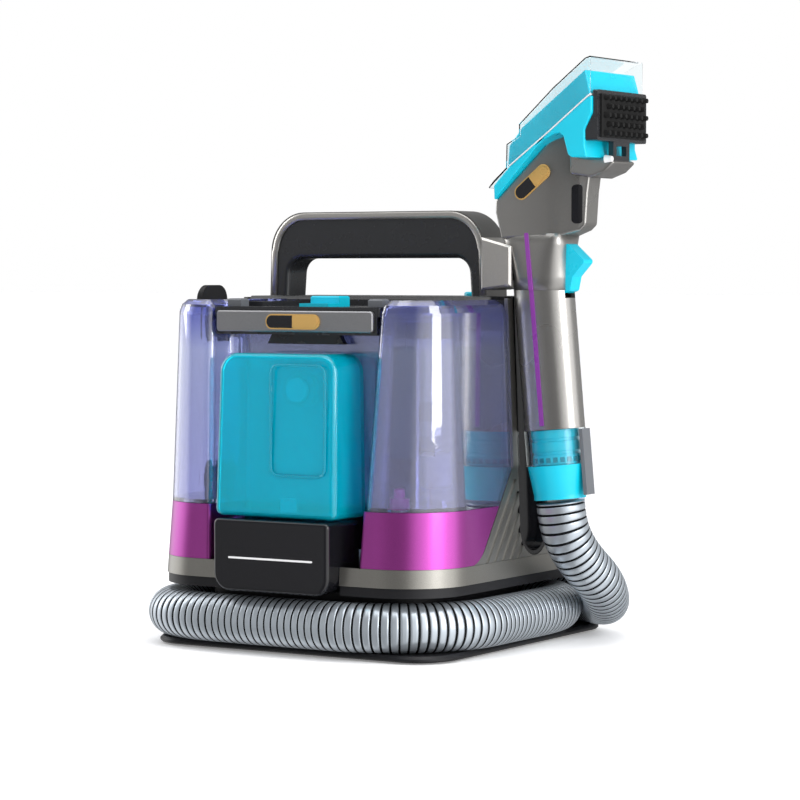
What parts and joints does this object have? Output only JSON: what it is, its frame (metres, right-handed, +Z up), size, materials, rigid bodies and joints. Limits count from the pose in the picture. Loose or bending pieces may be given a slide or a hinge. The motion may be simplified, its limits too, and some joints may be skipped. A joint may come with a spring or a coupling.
{
  "type": "carpet cleaner machine",
  "caption": "Portable carpet and upholstery cleaner with clear lift-off tanks, a hose wound round its base and a docked spray wand.",
  "frame": {"origin": "centre of the base footprint, on the floor", "axes": "+Z up, -Y towards the front of the machine, +X towards the docked wand"},
  "size_m": [0.3657, 0.2944, 0.4265],
  "materials": {
    "base_black": "satin, fine texture",
    "rubber_black": "matt",
    "champagne": "satin metallic paint on plastic",
    "champagne_ribbed": "satin metallic paint on plastic",
    "magenta": "satin metallic paint on plastic",
    "gloss_black": "gloss",
    "handle_black": "satin",
    "gunmetal": "satin metallic paint on plastic",
    "bar_grey": "satin metallic paint on plastic",
    "badge_gold": "gloss",
    "tank_violet": "clear tinted plastic",
    "tank_cyan": "clear tinted plastic",
    "tank_blue": "clear tinted plastic",
    "clear": "clear plastic",
    "cyan": "gloss",
    "wand_grey": "satin metallic paint on plastic",
    "purple": "gloss",
    "hose_grey": "satin ribbed",
    "white": "satin",
    "pink": "gloss",
    "motor_steel": "satin",
    "steel": "satin",
    "board_green": "satin",
    "grey_plastic": "satin"
  },
  "bodies": {
    "root": {"foot_ring": "rubber_black", "base_plate": "base_black", "plinth": "base_black", "hose_port": "base_black", "lower_tray": "champagne", "front_block": "gloss_black", "accent_band_left": "magenta", "accent_band_right": "magenta", "main_housing": "base_black", "dock_channel": "gloss_black", "side_panel_left": "champagne_ribbed", "side_panel_right": "champagne_ribbed", "top_deck": "handle_black", "handle_core": "handle_black", "handle_cap": "gunmetal", "wand_bracket": "champagne", "bracket_liner": "rubber_black", "cord_hook_lower": "base_black", "cord_gland": "rubber_black", "vacuum_motor": "motor_steel", "motor_mount": "rubber_black", "fan_scroll": "grey_plastic", "water_pump": "grey_plastic", "circuit_board": "board_green", "tank_seal": "rubber_black", "housing_screws": "steel", "hose": "hose_grey"},
    "dirty_tank": {"recovery_tank": "tank_violet", "tank_lid": "handle_black", "lid_studs": "grey_plastic", "bar_face": "bar_grey", "bar_badge": "badge_gold", "standpipe": "tank_violet", "drain_plug": "pink", "latch_spring": "steel"},
    "lid_latch": {"tank_latch": "cyan"},
    "float": {"float_ball": "white"},
    "detergent_tank": {"formula_tank": "tank_cyan", "formula_valve": "cyan"},
    "detergent_cap": {"formula_cap": "cyan"},
    "water_tank": {"clean_tank": "tank_blue"},
    "water_cap": {"clean_cap": "cyan"},
    "wand": {"hose_cup": "cyan", "hose_collar": "clear", "wand_grip": "wand_grey", "wand_stripe": "purple", "trigger_pin": "steel", "trigger_valve": "grey_plastic", "nozzle_body": "cyan", "nozzle_cover": "clear", "wand_head": "wand_grey", "spray_nozzle": "white", "wand_badge": "badge_gold"},
    "trigger_lever": {"trigger": "cyan"},
    "brush": {"brush_holder": "handle_black", "bristle_pad": "rubber_black"},
    "cuff_latch": {"release_latch": "grey_plastic"},
    "power_key": {"power_button": "cyan"},
    "cord_hook": {"cord_hook_upper": "base_black"},
    "fan": {"fan_impeller": "grey_plastic"}
  },
  "joints": [
    {"name": "dirty_tank_pull", "type": "slide", "parent": "root", "child": "dirty_tank", "axis": [0, -1, 0], "range_m": [0, 0.14]},
    {"name": "lid_latch_press", "type": "slide", "parent": "dirty_tank", "child": "lid_latch", "axis": [0, 1, 0], "range_m": [0, 0.0025], "stiffness_N_per_m": 400, "deforming": ["latch_spring"]},
    {"name": "float_rise", "type": "slide", "parent": "dirty_tank", "child": "float", "axis": [0, 0, 1], "range_m": [0, 0.026]},
    {"name": "detergent_tank_pull", "type": "slide", "parent": "dirty_tank", "child": "detergent_tank", "axis": [0, -1, 0], "range_m": [0, 0.06]},
    {"name": "detergent_cap_turn", "type": "hinge", "parent": "detergent_tank", "child": "detergent_cap", "pos_m": [0, -0.108, 0.19], "axis": [0, 1, 0], "range_deg": [0, 90]},
    {"name": "water_tank_pull", "type": "slide", "parent": "root", "child": "water_tank", "axis": [0, 1, 0], "range_m": [0, 0.07]},
    {"name": "water_cap_turn", "type": "hinge", "parent": "water_tank", "child": "water_cap", "pos_m": [0, 0.103, 0.246], "axis": [0, 0, 1], "range_deg": [0, 90]},
    {"name": "wand_lift", "type": "slide", "parent": "root", "child": "wand", "axis": [0.9959, 0, 0.0906], "range_m": [0, 0.06]},
    {"name": "trigger_squeeze", "type": "hinge", "parent": "wand", "child": "trigger_lever", "pos_m": [0.1565, 0, 0.29112], "axis": [0, 1, 0], "range_deg": [0, 7], "stiffness_Nm_per_rad": 1.2},
    {"name": "brush_pull", "type": "slide", "parent": "wand", "child": "brush", "axis": [1, 0, 0], "range_m": [0, 0.02]},
    {"name": "cuff_latch_flex", "type": "hinge", "parent": "wand", "child": "cuff_latch", "pos_m": [0.17224, 0, 0.159], "axis": [0, -1, 0], "range_deg": [0, 6], "stiffness_Nm_per_rad": 0.6},
    {"name": "power_press", "type": "slide", "parent": "root", "child": "power_key", "axis": [0, 0, -1], "range_m": [0, 0.0025], "stiffness_N_per_m": 500},
    {"name": "cord_hook_turn", "type": "hinge", "parent": "root", "child": "cord_hook", "pos_m": [-0.12, -0.002, 0.231], "axis": [1, 0, 0], "range_deg": [0, 180]},
    {"name": "fan_spin", "type": "hinge", "parent": "root", "child": "fan", "pos_m": [-0.038, 0.034, 0.11], "axis": [0, 0, 1], "continuous": true}
  ]
}
